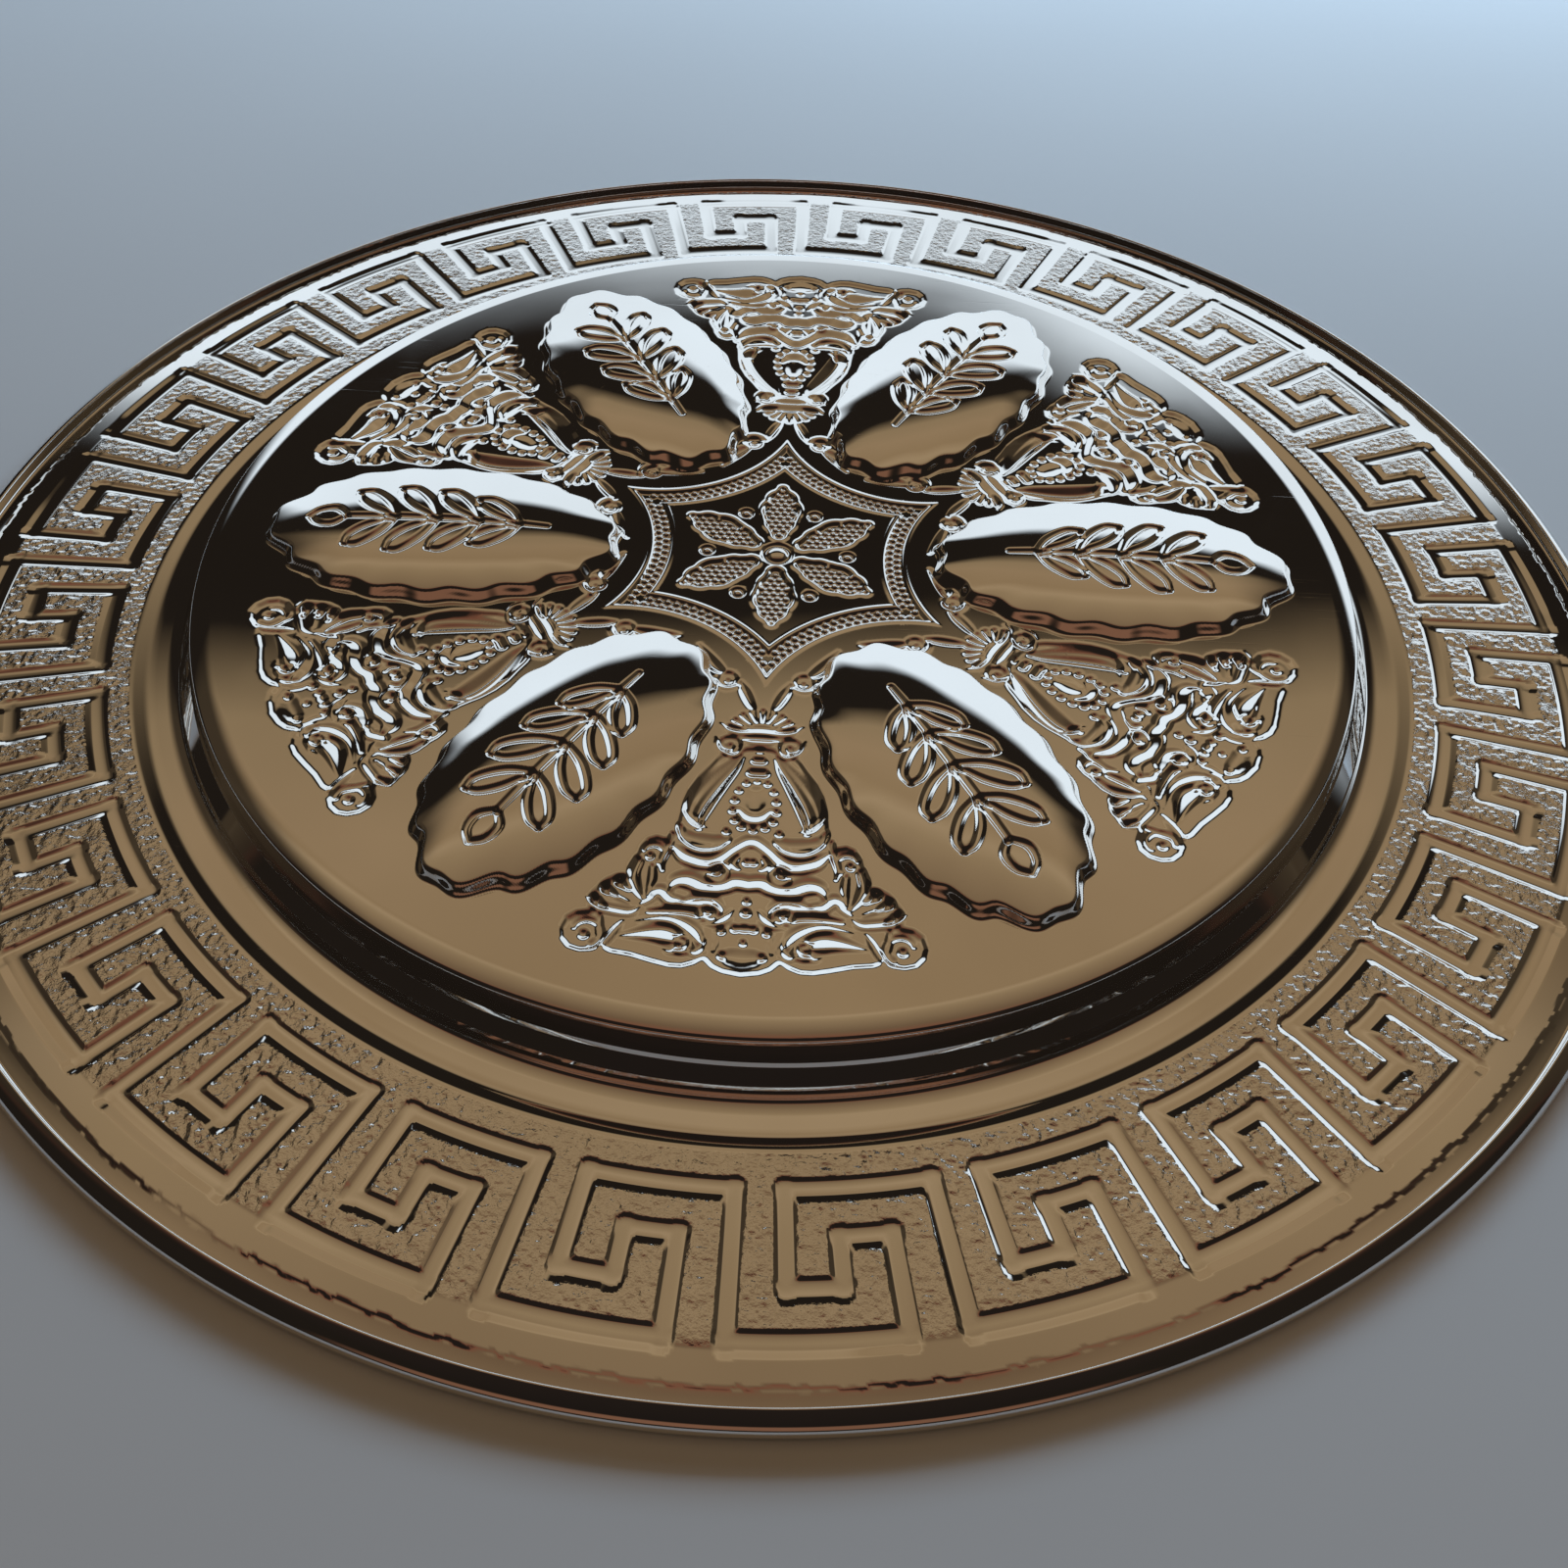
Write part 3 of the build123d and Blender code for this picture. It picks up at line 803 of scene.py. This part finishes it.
row_r, row_z, row_k, row_s, row_tr, row_tz = (np.array([q[k] for q in rows]) for k in range(6))
front_row = np.arange(NROW) > LAST_CURL


def sheet_wave(x, y):
    # the sheet is not quite flat, mm
    return 0.055 * noise(x / 27.0, y / 27.0, 23) + 0.018 * noise(x / 11.0, y / 11.0, 29)


def wave_share(r):
    return np.where(r < 105, smooth((96.0 - r) / 4.0), smooth((r - 112.5) / 4.0) * smooth((147.9 - r) / 3.0))


def surface(i, j):
    # points and normals for rows i and columns j (mm)
    phi = 2 * math.pi * j / COLS
    r, z, rs, kind = row_r[i], row_z[i].copy(), row_s[i], row_k[i]
    c, s = np.cos(phi), np.sin(phi)
    dr, dt, grain = np.zeros(len(r)), np.zeros(len(r)), np.zeros(len(r))
    m = kind == ON_DISC
    if m.any():
        h, dr[m], dt[m] = disc_sample(rs[m], phi[m])
        z[m] += h
    m = kind == ON_KEY
    if m.any():
        h, dr[m], dt[m], grain[m] = key_sample(rs[m], phi[m])
        z[m] += h
    m = kind != PLAIN
    if m.any():
        x, y, f = r[m] * c[m], r[m] * s[m], wave_share(r[m])
        w0 = sheet_wave(x, y)
        wx = (sheet_wave(x + 0.1, y) - w0) / 0.1
        wy = (sheet_wave(x, y + 0.1) - w0) / 0.1
        z[m] += f * w0
        dr[m] += f * (wx * c[m] + wy * s[m])
        dt[m] += f * (-wx * s[m] + wy * c[m])
    sign = np.where(front_row[i], -1.0, 1.0)
    flat = kind != PLAIN
    nr = np.where(flat, -dr * sign, -row_tz[i])
    nz = np.where(flat, sign, row_tr[i])
    nt = np.where(flat, -dt * sign, 0.0)
    ln = np.sqrt(nr * nr + nt * nt + nz * nz)
    nr, nt, nz = nr / ln, nt / ln, nz / ln
    pos = np.stack([r * c, r * s, z], -1)
    nor = np.stack([nr * c - nt * s, nr * s + nt * c, nz], -1)
    return pos, nor, grain


def plate_mesh(name):
    used = np.zeros((NROW, COLS), bool)
    boxes = []                       # (i0, j0, height, width) arrays
    for first, last, stride in ZONES:
        n, m = last - first, COLS // stride
        ii, jj = np.meshgrid(np.arange(first, last + 1), np.arange(m) * stride, indexing="ij")
        pos, _, _ = surface(ii.ravel(), jj.ravel())
        z = pos[:, 2].reshape(ii.shape)
        d2 = np.abs(np.roll(z, 1, 1) - 2 * z + np.roll(z, -1, 1))
        dr = np.zeros_like(z)
        if n > 1:
            dr[1:-1] = np.abs(z[:-2] - 2 * z[1:-1] + z[2:])
            dr[0], dr[-1] = dr[1], dr[-2]
        bend = np.maximum(d2, dr)
        bend = np.maximum(np.maximum(bend[:-1], bend[1:]), np.maximum(np.roll(bend[:-1], -1, 1), np.roll(bend[1:], -1, 1)))
        free = np.ones((n, m), bool)
        plain = (row_k[first + 1:last + 1] == PLAIN).any()
        for power in (3, 2, 1):
            s = 2 ** power
            if plain or m % s or n < s:
                continue
            nn = n // s * s
            blk = bend[:nn].reshape(nn // s, s, m // s, s).max((1, 3))
            ok = (blk * s * s / 8 < 0.007) & free[:nn].reshape(nn // s, s, m // s, s).all((1, 3))
            bi, bj = np.nonzero(ok)
            if len(bi):
                boxes.append((first + bi * s, bj * s * stride, s, s * stride))
                mask = np.repeat(np.repeat(ok, s, 0), s, 1)
                free[:nn] &= ~mask
        bi, bj = np.nonzero(free)
        boxes.append((first + bi, bj * stride, 1, stride))
    for i0, j0, h, w in boxes:
        for a in (0, h):
            for b in (0, w):
                used[i0 + a, (j0 + b) % COLS] = True
    vid = np.full((NROW, COLS), -1, np.int64)
    vi, vj = np.nonzero(used)
    vid[vi, vj] = np.arange(len(vi))
    pos, nor, grain = surface(vi, vj)
    loops, starts, totals, face_row = [], [], [], []
    at = 0
    for i0, j0, h, w in boxes:
        di = np.concatenate([np.arange(0, h), np.full(w, h), np.arange(h, 0, -1), np.zeros(w, int)])
        dj = np.concatenate([np.zeros(h, int), np.arange(0, w), np.full(h, w), np.arange(w, 0, -1)])
        for lo in range(0, len(i0), 60000):
            a, b = i0[lo:lo + 60000], j0[lo:lo + 60000]
            ids = vid[a[:, None] + di[None], (b[:, None] + dj[None]) % COLS]
            keep = ids >= 0
            cnt = keep.sum(1)
            loops.append(ids[keep])
            starts.append(at + np.concatenate([[0], np.cumsum(cnt)[:-1]]))
            totals.append(cnt)
            face_row.append(a)
            at += int(cnt.sum())
    # caps in the middle of both faces
    nv = len(pos)
    extra = np.array([[0, 0, DISC + float(disc_sample(np.array([0.0]), np.array([0.0]))[0][0])],
                      [0, 0, DISC - SHEET + float(disc_sample(np.array([0.0]), np.array([0.0]))[0][0])]])
    pos = np.vstack([pos, extra])
    nor = np.vstack([nor, [[0, 0, 1], [0, 0, -1]]])
    grain = np.concatenate([grain, [0, 0]])
    for row, centre, flip in ((0, nv, False), (NROW - 1, nv + 1, True)):
        ring = vid[row][vid[row] >= 0]
        nxt = np.roll(ring, -1)
        tri = np.stack([np.full(len(ring), centre), ring, nxt] if not flip else [np.full(len(ring), centre), nxt, ring], -1)
        loops.append(tri.ravel())
        starts.append(at + 3 * np.arange(len(ring)))
        totals.append(np.full(len(ring), 3))
        face_row.append(np.full(len(ring), row))
        at += 3 * len(ring)
    loops, starts = np.concatenate(loops), np.concatenate(starts)
    totals, face_row = np.concatenate(totals), np.concatenate(face_row)
    me = bpy.data.meshes.new(name)
    me.vertices.add(len(pos))
    me.vertices.foreach_set("co", (pos * 0.001).astype(np.float32).ravel())
    me.loops.add(len(loops))
    me.loops.foreach_set("vertex_index", loops.astype(np.int32))
    me.polygons.add(len(starts))
    me.polygons.foreach_set("loop_start", starts.astype(np.int32))
    me.polygons.foreach_set("use_smooth", np.ones(len(starts), bool))
    me.update(calc_edges=True)
    # flat map: the back in the left half of the square, the front in the right half, the inside of the curl round it
    row_of = np.repeat(face_row, totals)
    p = pos[loops]
    vrow = np.concatenate([vi, [0, NROW - 1]])[loops]
    rr = np.hypot(p[:, 0], p[:, 1])
    right = row_of >= OUTER
    curl = (row_of >= LAST_BACK) & (row_of < LAST_CURL)
    uvr = np.where(curl, RADIUS * (1.006 + 0.03 * (vrow - LAST_BACK) / max(1, LAST_CURL - LAST_BACK)), rr)
    sc = uvr / np.maximum(rr, 1e-6) / RADIUS
    uv = np.stack([np.where(right, 0.75, 0.25) + 0.238 * p[:, 0] * sc, 0.5 + 0.476 * p[:, 1] * sc], -1)
    layer = me.uv_layers.new(name="OFBake")
    layer.data.foreach_set("uv", uv.astype(np.float32).ravel())
    att = me.attributes.new("grain", "FLOAT", "POINT")
    att.data.foreach_set("value", grain.astype(np.float32))
    me.normals_split_custom_set_from_vertices(nor.astype(np.float32))
    print("plate", len(pos), "points", len(starts), "faces", (totals - 2).sum(), "triangles")
    return me


# ================================================================== materials
def node(tree, kind, **values):
    n = tree.nodes.new(kind)
    for key, value in values.items():
        if key in n.inputs:
            n.inputs[key].default_value = value
        else:
            setattr(n, key, value)
    return n


def math_node(tree, op, a, b=None, c=None, clamp=False):
    n = tree.nodes.new("ShaderNodeMath")
    n.operation = op
    n.use_clamp = clamp
    for k, v in enumerate((a, b, c)):
        if v is None:
            continue
        if isinstance(v, (int, float)):
            n.inputs[k].default_value = v
        else:
            tree.links.new(v, n.inputs[k])
    return n.outputs[0]


def ramp(tree, value, lo, hi, to_lo, to_hi):
    n = tree.nodes.new("ShaderNodeMapRange")
    n.interpolation_type = "SMOOTHSTEP"
    tree.links.new(value, n.inputs["Value"])
    n.inputs["From Min"].default_value = lo
    n.inputs["From Max"].default_value = hi
    n.inputs["To Min"].default_value = to_lo
    n.inputs["To Max"].default_value = to_hi
    return n.outputs["Result"]


def noise_tex(tree, where, scale, detail=2.0, rough=0.5, distortion=0.0):
    n = tree.nodes.new("ShaderNodeTexNoise")
    n.inputs["Scale"].default_value = scale
    n.inputs["Detail"].default_value = detail
    n.inputs["Roughness"].default_value = rough
    n.inputs["Distortion"].default_value = distortion
    tree.links.new(where, n.inputs["Vector"])
    return n.outputs["Fac"]


def blend_colours(tree, share, first, second):
    n = tree.nodes.new("ShaderNodeMix")
    n.data_type = "RGBA"
    tree.links.new(share, n.inputs[0])
    for k, v in ((6, first), (7, second)):
        if isinstance(v, tuple):
            n.inputs[k].default_value = v + (1.0,)
        else:
            tree.links.new(v, n.inputs[k])
    return n.outputs[2]


def principled(name):
    mat = bpy.data.materials.new(name)
    mat.use_nodes = True
    tree = mat.node_tree
    return mat, tree, tree.nodes["Principled BSDF"], tree.nodes.new("ShaderNodeTexCoord").outputs["Object"]


def stretched(tree, where, scale, turn):
    n = tree.nodes.new("ShaderNodeMapping")
    n.inputs["Scale"].default_value = scale
    n.inputs["Rotation"].default_value = (0.0, 0.0, math.radians(turn))
    tree.links.new(where, n.inputs["Vector"])
    return n.outputs["Vector"]


def plated_sheet():
    # bright plating on pressed steel: mirror finish with faint handling marks, grainy on the stippled ground
    mat, tree, bsdf, where = principled("bright_plated_sheet")
    link = tree.links.new
    bsdf.inputs["Metallic"].default_value = 1.0
    broad = noise_tex(tree, where, 21.0, 3.0, 0.55)
    fine = noise_tex(tree, where, 1500.0, 2.0, 0.6)
    grain = tree.nodes.new("ShaderNodeAttribute")
    grain.attribute_name = "grain"
    grain = grain.outputs["Fac"]
    tone = blend_colours(tree, ramp(tree, broad, 0.3, 0.7, 0.0, 1.0), (0.80, 0.785, 0.765), (0.865, 0.855, 0.84))
    link(tone, bsdf.inputs["Base Color"])
    # hairline marks in three directions
    marks = None
    for k, (turn, dense) in enumerate(((18.0, 2600.0), (77.0, 2200.0), (131.0, 3000.0))):
        line = noise_tex(tree, stretched(tree, where, (0.012, 1.0, 1.0), turn), dense, 1.0, 0.4)
        line = ramp(tree, line, 0.70, 0.80, 0.0, 1.0)
        marks = line if marks is None else math_node(tree, "MAXIMUM", marks, line)
    worn = ramp(tree, noise_tex(tree, where, 34.0, 4.0, 0.6, 0.4), 0.52, 0.78, 0.0, 1.0)
    marks = math_node(tree, "MULTIPLY", marks, worn)
    rough = math_node(tree, "MULTIPLY_ADD", worn, 0.020, 0.028)
    rough = math_node(tree, "MULTIPLY_ADD", marks, 0.05, rough)
    rough = math_node(tree, "MULTIPLY_ADD", grain, 0.13, rough)
    link(rough, bsdf.inputs["Roughness"])
    bump = tree.nodes.new("ShaderNodeBump")
    bump.inputs["Strength"].default_value = 0.7
    bump.inputs["Distance"].default_value = 0.00016
    height = math_node(tree, "MULTIPLY", math_node(tree, "SUBTRACT", fine, 0.5), grain)
    height = math_node(tree, "MULTIPLY_ADD", marks, -0.02, height)
    link(height, bump.inputs["Height"])
    link(bump.outputs["Normal"], bsdf.inputs["Normal"])
    return mat


def drawn_wire():
    # drawn steel wire: fine lengthwise marks and a little darkening
    mat, tree, bsdf, where = principled("drawn_steel_wire")
    link = tree.links.new
    bsdf.inputs["Metallic"].default_value = 1.0
    ring = tree.nodes.new("ShaderNodeVectorMath")
    ring.operation = "LENGTH"
    flat = stretched(tree, where, (1.0, 1.0, 0.0), 0.0)
    link(flat, ring.inputs[0])
    sep = tree.nodes.new("ShaderNodeSeparateXYZ")
    link(where, sep.inputs[0])
    comb = tree.nodes.new("ShaderNodeCombineXYZ")
    link(ring.outputs["Value"], comb.inputs[0])
    link(sep.outputs[2], comb.inputs[1])
    lines = noise_tex(tree, comb.outputs[0], 5200.0, 3.0, 0.6)
    dull = noise_tex(tree, where, 60.0, 4.0, 0.6)
    tone = blend_colours(tree, ramp(tree, dull, 0.35, 0.7, 0.0, 1.0), (0.52, 0.51, 0.49), (0.36, 0.34, 0.315))
    link(tone, bsdf.inputs["Base Color"])
    link(ramp(tree, lines, 0.3, 0.7, 0.24, 0.42), bsdf.inputs["Roughness"])
    bump = tree.nodes.new("ShaderNodeBump")
    bump.inputs["Strength"].default_value = 0.35
    bump.inputs["Distance"].default_value = 0.00004
    link(lines, bump.inputs["Height"])
    link(bump.outputs["Normal"], bsdf.inputs["Normal"])
    return mat


def pale_table():
    mat, tree, bsdf, where = principled("pale_table")
    link = tree.links.new
    cloud = noise_tex(tree, where, 2.6, 3.0, 0.5)
    speck = noise_tex(tree, where, 420.0, 3.0, 0.6)
    tone = blend_colours(tree, ramp(tree, cloud, 0.3, 0.7, 0.0, 1.0), (0.655, 0.642, 0.632), (0.695, 0.682, 0.672))
    link(tone, bsdf.inputs["Base Color"])
    link(ramp(tree, speck, 0.2, 0.8, 0.55, 0.7), bsdf.inputs["Roughness"])
    bsdf.inputs["Specular IOR Level"].default_value = 0.25
    return mat


# ================================================================== pieces
def add_object(name, mesh, mat):
    ob = bpy.data.objects.new(name, mesh)
    bpy.context.scene.collection.objects.link(ob)
    mesh.materials.clear()
    mesh.materials.append(mat)
    return ob


plate = add_object("pressed_sheet", plate_mesh("pressed_sheet"), plated_sheet())
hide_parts("pressed_plate")
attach(plate, "root")

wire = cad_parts["edge_wire"]
wire_mat = drawn_wire()
for spot in wire.material_slots:
    spot.material = wire_mat

# ================================================================== table, light, camera
span = 4.0
floor_mesh = bpy.data.meshes.new("table_top")
floor_mesh.from_pydata([(-span, -span, -0.0002), (span, -span, -0.0002), (span, span, -0.0002), (-span, span, -0.0002)], [], [(0, 1, 2, 3)])
floor = add_object("table_top", floor_mesh, pale_table())

world = bpy.data.worlds.new("room")
bpy.context.scene.world = world
world.use_nodes = True
wt = world.node_tree
back = wt.nodes["Background"]
axes = wt.nodes.new("ShaderNodeSeparateXYZ")
wt.links.new(wt.nodes.new("ShaderNodeTexCoord").outputs["Generated"], axes.inputs[0])
wx, wy, wz = axes.outputs
up_deg = math_node(wt, "MULTIPLY", math_node(wt, "ARCSINE", wz), 57.29578)
round_deg = math_node(wt, "MULTIPLY", math_node(wt, "ABSOLUTE", math_node(wt, "ARCTAN2", wx, wy)), 57.29578)
over_deg = math_node(wt, "MULTIPLY", math_node(wt, "ARCTAN2", wz, wy), 57.29578)
side_deg = math_node(wt, "MULTIPLY", math_node(wt, "ARCTAN2", wx, wy), 57.29578)
DARK, WINDOW = (0.014, 0.0105, 0.0078), (0.86, 0.97, 1.06)
# window low on the far side, its upper edge a little lower on the left
edge = math_node(wt, "ADD", ramp(wt, side_deg, 3.0, 13.0, 31.6, 34.8), ramp(wt, side_deg, -22.0, -10.0, 2.0, 0.0))
above = math_node(wt, "SUBTRACT", over_deg, edge)
in_window = math_node(wt, "MULTIPLY", ramp(wt, above, -2.6, 1.4, 1.0, 0.0), ramp(wt, round_deg, 58.0, 72.0, 1.0, 0.0))
in_window = math_node(wt, "MULTIPLY", in_window, ramp(wt, up_deg, -1.0, 1.0, 0.0, 1.0))
in_window = math_node(wt, "MULTIPLY", in_window, ramp(wt, side_deg, -37.0, -30.0, 0.0, 1.0))
# warm ceiling, brightest well forward of the plate, reddish and dying away overhead
across = math_node(wt, "DIVIDE", wx, math_node(wt, "MAXIMUM", wz, 0.02))
tilt = ramp(wt, across, -1.0, 1.0, -2.2, 2.2)
tone = wt.nodes.new("ShaderNodeValToRGB")
wt.links.new(math_node(wt, "MULTIPLY", math_node(wt, "ADD", over_deg, tilt), 1.0 / 180.0), tone.inputs["Fac"])
stops = ((42.3, (0.014, 0.0105, 0.0078)), (45.6, (0.28, 0.197, 0.108)), (50.0, (0.315, 0.216, 0.119)), (56.0, (0.292, 0.198, 0.105)), (60.0, (0.365, 0.258, 0.146)),
         (64.0, (0.304, 0.212, 0.115)), (68.0, (0.272, 0.186, 0.101)), (74.0, (0.235, 0.158, 0.086)), (84.0, (0.165, 0.104, 0.057)), (91.0, (0.19, 0.078, 0.044)),
         (95.5, (0.075, 0.032, 0.020)), (101.0, (0.017, 0.012, 0.0095)), (180.0, (0.011, 0.0085, 0.0072)))
while len(tone.color_ramp.elements) < len(stops):
    tone.color_ramp.elements.new(0.5)
for stop, (at, colour) in zip(tone.color_ramp.elements, stops):
    stop.position = at / 180.0
    stop.color = colour + (1.0,)
lean = math_node(wt, "DIVIDE", math_node(wt, "ABSOLUTE", wx), math_node(wt, "MAXIMUM", wz, 0.02))
shade = blend_colours(wt, ramp(wt, lean, 0.48, 0.85, 0.0, 0.88), tone.outputs["Color"], DARK)
shade = blend_colours(wt, in_window, shade, WINDOW)
# something warm and dim low down behind the camera
beside = math_node(wt, "DIVIDE", math_node(wt, "ABSOLUTE", wx), math_node(wt, "MAXIMUM", math_node(wt, "MULTIPLY", wy, -1.0), 0.02))
warm = math_node(wt, "MULTIPLY", ramp(wt, over_deg, 150.0, 157.0, 0.0, 1.0), ramp(wt, over_deg, 169.0, 175.0, 1.0, 0.0))
warm = math_node(wt, "MULTIPLY", warm, ramp(wt, beside, 0.5, 0.95, 1.0, 0.0))
shade = blend_colours(wt, warm, shade, (0.20, 0.095, 0.055))
below = ramp(wt, up_deg, -2.0, 0.0, 1.0, 0.0)
shade = blend_colours(wt, below, shade, DARK)
seen = wt.nodes.new("ShaderNodeLightPath").outputs["Is Camera Ray"]
shade = blend_colours(wt, seen, shade, (0.42, 0.45, 0.49))
wt.links.new(shade, back.inputs["Color"])
back.inputs["Strength"].default_value = 1.0

lamp = bpy.data.lights.new("soft_box", "AREA")
lamp.shape = "RECTANGLE"
lamp.size, lamp.size_y = 0.9, 0.7
lamp.energy = 17.4
lamp.color = (0.82, 1.20, 1.60)
lamp_ob = bpy.data.objects.new("soft_box", lamp)
bpy.context.scene.collection.objects.link(lamp_ob)
lamp_ob.location = (0.30, 1.00, 0.42)
lamp_ob.visible_glossy = False
lamp_ob.visible_camera = False
fill = bpy.data.lights.new("warm_fill", "AREA")
fill.shape = "SQUARE"
fill.size = 1.0
fill.energy = 0.52
fill.color = (1.0, 0.80, 0.50)
fill_ob = bpy.data.objects.new("warm_fill", fill)
bpy.context.scene.collection.objects.link(fill_ob)
fill_ob.location = (0.0, -0.55, 0.8)
fill_ob.visible_glossy = False
fill_ob.visible_camera = False

cam = bpy.data.cameras.new("camera")
cam.sensor_fit = "HORIZONTAL"
cam.sensor_width = 36.0
cam.lens = 1650.0 / 1600.0 * 36.0
cam.clip_start, cam.clip_end = 0.01, 50.0
cam_ob = bpy.data.objects.new("camera", cam)
bpy.context.scene.collection.objects.link(cam_ob)
ahead = Vector((-0.019847, 0.663293, -0.74813)).normalized()
right = Vector((0.999553, 0.029908, 0.0)).normalized()
upward = right.cross(ahead)
roll = math.radians(1.9353)
right_r = right * math.cos(roll) + upward * math.sin(roll)
up_r = -right * math.sin(roll) + upward * math.cos(roll)
turn = Matrix((right_r, up_r, -ahead)).transposed().to_4x4()
cam_ob.matrix_world = Matrix.Translation((0.00927, -0.22325, 0.20110)) @ turn
bpy.context.scene.camera = cam_ob

bpy.context.scene.view_settings.view_transform = "Standard"
bpy.context.scene.view_settings.look = "None"
